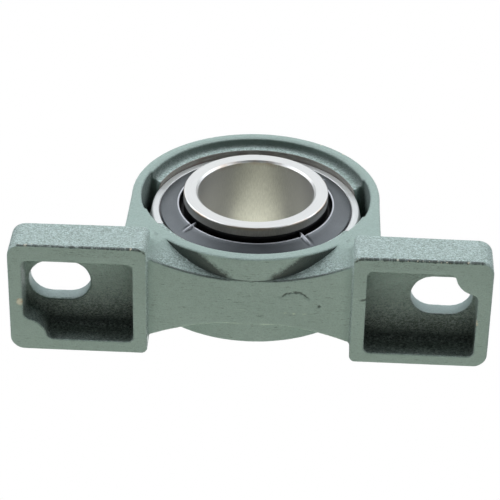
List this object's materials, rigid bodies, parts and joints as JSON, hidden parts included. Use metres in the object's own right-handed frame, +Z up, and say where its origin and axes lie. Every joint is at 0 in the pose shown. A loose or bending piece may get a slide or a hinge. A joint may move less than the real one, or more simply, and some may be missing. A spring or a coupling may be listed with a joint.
{
  "type": "pillow block bearing",
  "caption": "Two-bolt cast pillow block with hollow slotted feet and a self-aligning, sealed ball bearing insert locked by set screws.",
  "frame": {"origin": "on the base plane, at the centre of the two-bolt pattern, 2.2 mm in front of the centre of the spherical seat", "axes": "+Z up from the base plane, +X along the feet, Y along the shaft; the loading slots are on the -Y side and the set screws on the +Y side"},
  "size_m": [0.219, 0.0602, 0.1336],
  "materials": {
    "housing_paint": "grey-green hammered enamel over rough sand-cast iron, bare machined spherical seat",
    "bearing_steel": "ground and honed bearing steel",
    "ball_steel": "polished chrome steel",
    "cage_steel": "pressed steel, satin",
    "seal_core_steel": "pressed steel, dull",
    "seal_rubber": "matt black nitrile rubber",
    "flinger_steel": "dark slate-grey satin coating on pressed steel",
    "screw_steel": "black oxide",
    "nipple_steel": "zinc-plated steel",
    "spring_steel": "drawn spring wire"
  },
  "bodies": {
    "housing": {"housing": "housing_paint", "grease_nipple": "nipple_steel", "nipple_spring": "spring_steel"},
    "outer": {"outer_ring": "bearing_steel", "seal_front_core": "seal_core_steel", "seal_front_lip": "seal_rubber", "seal_rear_core": "seal_core_steel", "seal_rear_lip": "seal_rubber"},
    "inner": {"inner_ring": "bearing_steel", "flinger_front": "flinger_steel", "flinger_rear": "flinger_steel"},
    "cage": {"cage_front": "cage_steel", "cage_rear": "cage_steel", "cage_rivets": "cage_steel"},
    "rolling_ball_01": {"ball_01": "ball_steel"},
    "rolling_ball_02": {"ball_02": "ball_steel"},
    "rolling_ball_03": {"ball_03": "ball_steel"},
    "rolling_ball_04": {"ball_04": "ball_steel"},
    "rolling_ball_05": {"ball_05": "ball_steel"},
    "rolling_ball_06": {"ball_06": "ball_steel"},
    "rolling_ball_07": {"ball_07": "ball_steel"},
    "rolling_ball_08": {"ball_08": "ball_steel"},
    "rolling_ball_09": {"ball_09": "ball_steel"},
    "rolling_ball_10": {"ball_10": "ball_steel"},
    "screw_a": {"set_screw_a": "screw_steel"},
    "screw_b": {"set_screw_b": "screw_steel"},
    "nipple_check": {"nipple_ball": "ball_steel"}
  },
  "joints": [
    {"name": "self_align", "type": "hinge", "parent": "housing", "child": "outer", "pos_m": [0, 0.0022, 0.0635], "axis": [1, 0, 0], "range_deg": [-3, 3]},
    {"name": "shaft_spin", "type": "hinge", "parent": "outer", "child": "inner", "pos_m": [0, 0.0022, 0.0635], "axis": [0, 1, 0], "continuous": true},
    {"name": "cage_spin", "type": "hinge", "parent": "outer", "child": "cage", "pos_m": [0, 0.0022, 0.0635], "axis": [0, 1, 0], "continuous": true},
    {"name": "ball_spin_01", "type": "hinge", "parent": "cage", "child": "rolling_ball_01", "pos_m": [0, 0.0022, 0.10225], "axis": [0, 1, 0], "continuous": true},
    {"name": "ball_spin_02", "type": "hinge", "parent": "cage", "child": "rolling_ball_02", "pos_m": [-0.02278, 0.0022, 0.09485], "axis": [0, 1, 0], "continuous": true},
    {"name": "ball_spin_03", "type": "hinge", "parent": "cage", "child": "rolling_ball_03", "pos_m": [-0.03685, 0.0022, 0.07547], "axis": [0, 1, 0], "continuous": true},
    {"name": "ball_spin_04", "type": "hinge", "parent": "cage", "child": "rolling_ball_04", "pos_m": [-0.03685, 0.0022, 0.05153], "axis": [0, 1, 0], "continuous": true},
    {"name": "ball_spin_05", "type": "hinge", "parent": "cage", "child": "rolling_ball_05", "pos_m": [-0.02278, 0.0022, 0.03215], "axis": [0, 1, 0], "continuous": true},
    {"name": "ball_spin_06", "type": "hinge", "parent": "cage", "child": "rolling_ball_06", "pos_m": [0, 0.0022, 0.02475], "axis": [0, 1, 0], "continuous": true},
    {"name": "ball_spin_07", "type": "hinge", "parent": "cage", "child": "rolling_ball_07", "pos_m": [0.02278, 0.0022, 0.03215], "axis": [0, 1, 0], "continuous": true},
    {"name": "ball_spin_08", "type": "hinge", "parent": "cage", "child": "rolling_ball_08", "pos_m": [0.03685, 0.0022, 0.05153], "axis": [0, 1, 0], "continuous": true},
    {"name": "ball_spin_09", "type": "hinge", "parent": "cage", "child": "rolling_ball_09", "pos_m": [0.03685, 0.0022, 0.07547], "axis": [0, 1, 0], "continuous": true},
    {"name": "ball_spin_10", "type": "hinge", "parent": "cage", "child": "rolling_ball_10", "pos_m": [0.02278, 0.0022, 0.09485], "axis": [0, 1, 0], "continuous": true},
    {"name": "set_screw_a_travel", "type": "slide", "parent": "inner", "child": "screw_a", "axis": [0.866, 0, 0.5], "range_m": [0, 0.006]},
    {"name": "set_screw_b_travel", "type": "slide", "parent": "inner", "child": "screw_b", "axis": [-0.866, 0, 0.5], "range_m": [0, 0.006]},
    {"name": "nipple_valve", "type": "slide", "parent": "housing", "child": "nipple_check", "axis": [0, 0, -1], "range_m": [0, 0.001], "stiffness_N_per_m": 100, "springref_m": -0.001, "deforming": ["nipple_spring"]}
  ],
  "couplings": [
    {"joint": "cage_spin", "follows": "shaft_spin", "ratio": 0.40782},
    {"joint": "ball_spin_01", "follows": "shaft_spin", "ratio": -2.6199},
    {"joint": "ball_spin_02", "follows": "shaft_spin", "ratio": -2.6199},
    {"joint": "ball_spin_03", "follows": "shaft_spin", "ratio": -2.6199},
    {"joint": "ball_spin_04", "follows": "shaft_spin", "ratio": -2.6199},
    {"joint": "ball_spin_05", "follows": "shaft_spin", "ratio": -2.6199},
    {"joint": "ball_spin_06", "follows": "shaft_spin", "ratio": -2.6199},
    {"joint": "ball_spin_07", "follows": "shaft_spin", "ratio": -2.6199},
    {"joint": "ball_spin_08", "follows": "shaft_spin", "ratio": -2.6199},
    {"joint": "ball_spin_09", "follows": "shaft_spin", "ratio": -2.6199},
    {"joint": "ball_spin_10", "follows": "shaft_spin", "ratio": -2.6199}
  ]
}
